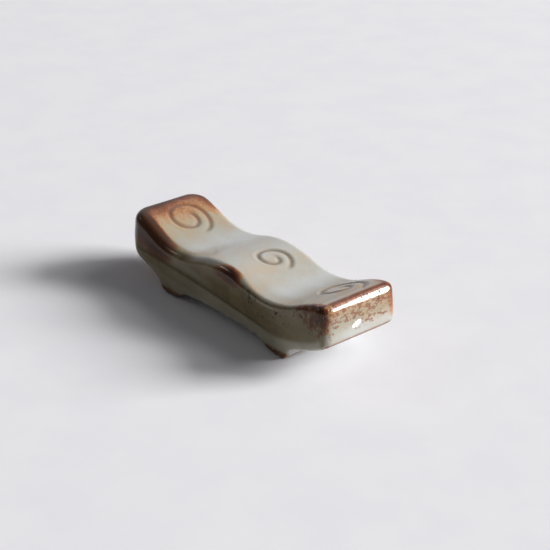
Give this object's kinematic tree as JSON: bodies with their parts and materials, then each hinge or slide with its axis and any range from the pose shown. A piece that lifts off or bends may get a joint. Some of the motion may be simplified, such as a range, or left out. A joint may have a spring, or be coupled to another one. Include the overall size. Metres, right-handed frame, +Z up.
{
  "type": "chopstick rest",
  "caption": "Wave-shaped glazed stoneware chopstick rest with saddles on either side of a middle hump, raised ends and foot bars.",
  "frame": {"origin": "on the table, under the middle of the rest", "axes": "+X along the rest, towards its right end; +Y across it, away from the near side; +Z up"},
  "size_m": [0.072, 0.0226, 0.0176],
  "materials": {
    "clay": "bare fired stoneware, matte",
    "glaze": "glossy celadon, iron brown at the edges"
  },
  "bodies": {
    "root": {"upper_half": "clay", "seam_slip": "clay", "lower_half": "clay", "left_foot": "clay", "right_foot": "clay", "glaze_coat": "glaze"}
  },
  "joints": []
}
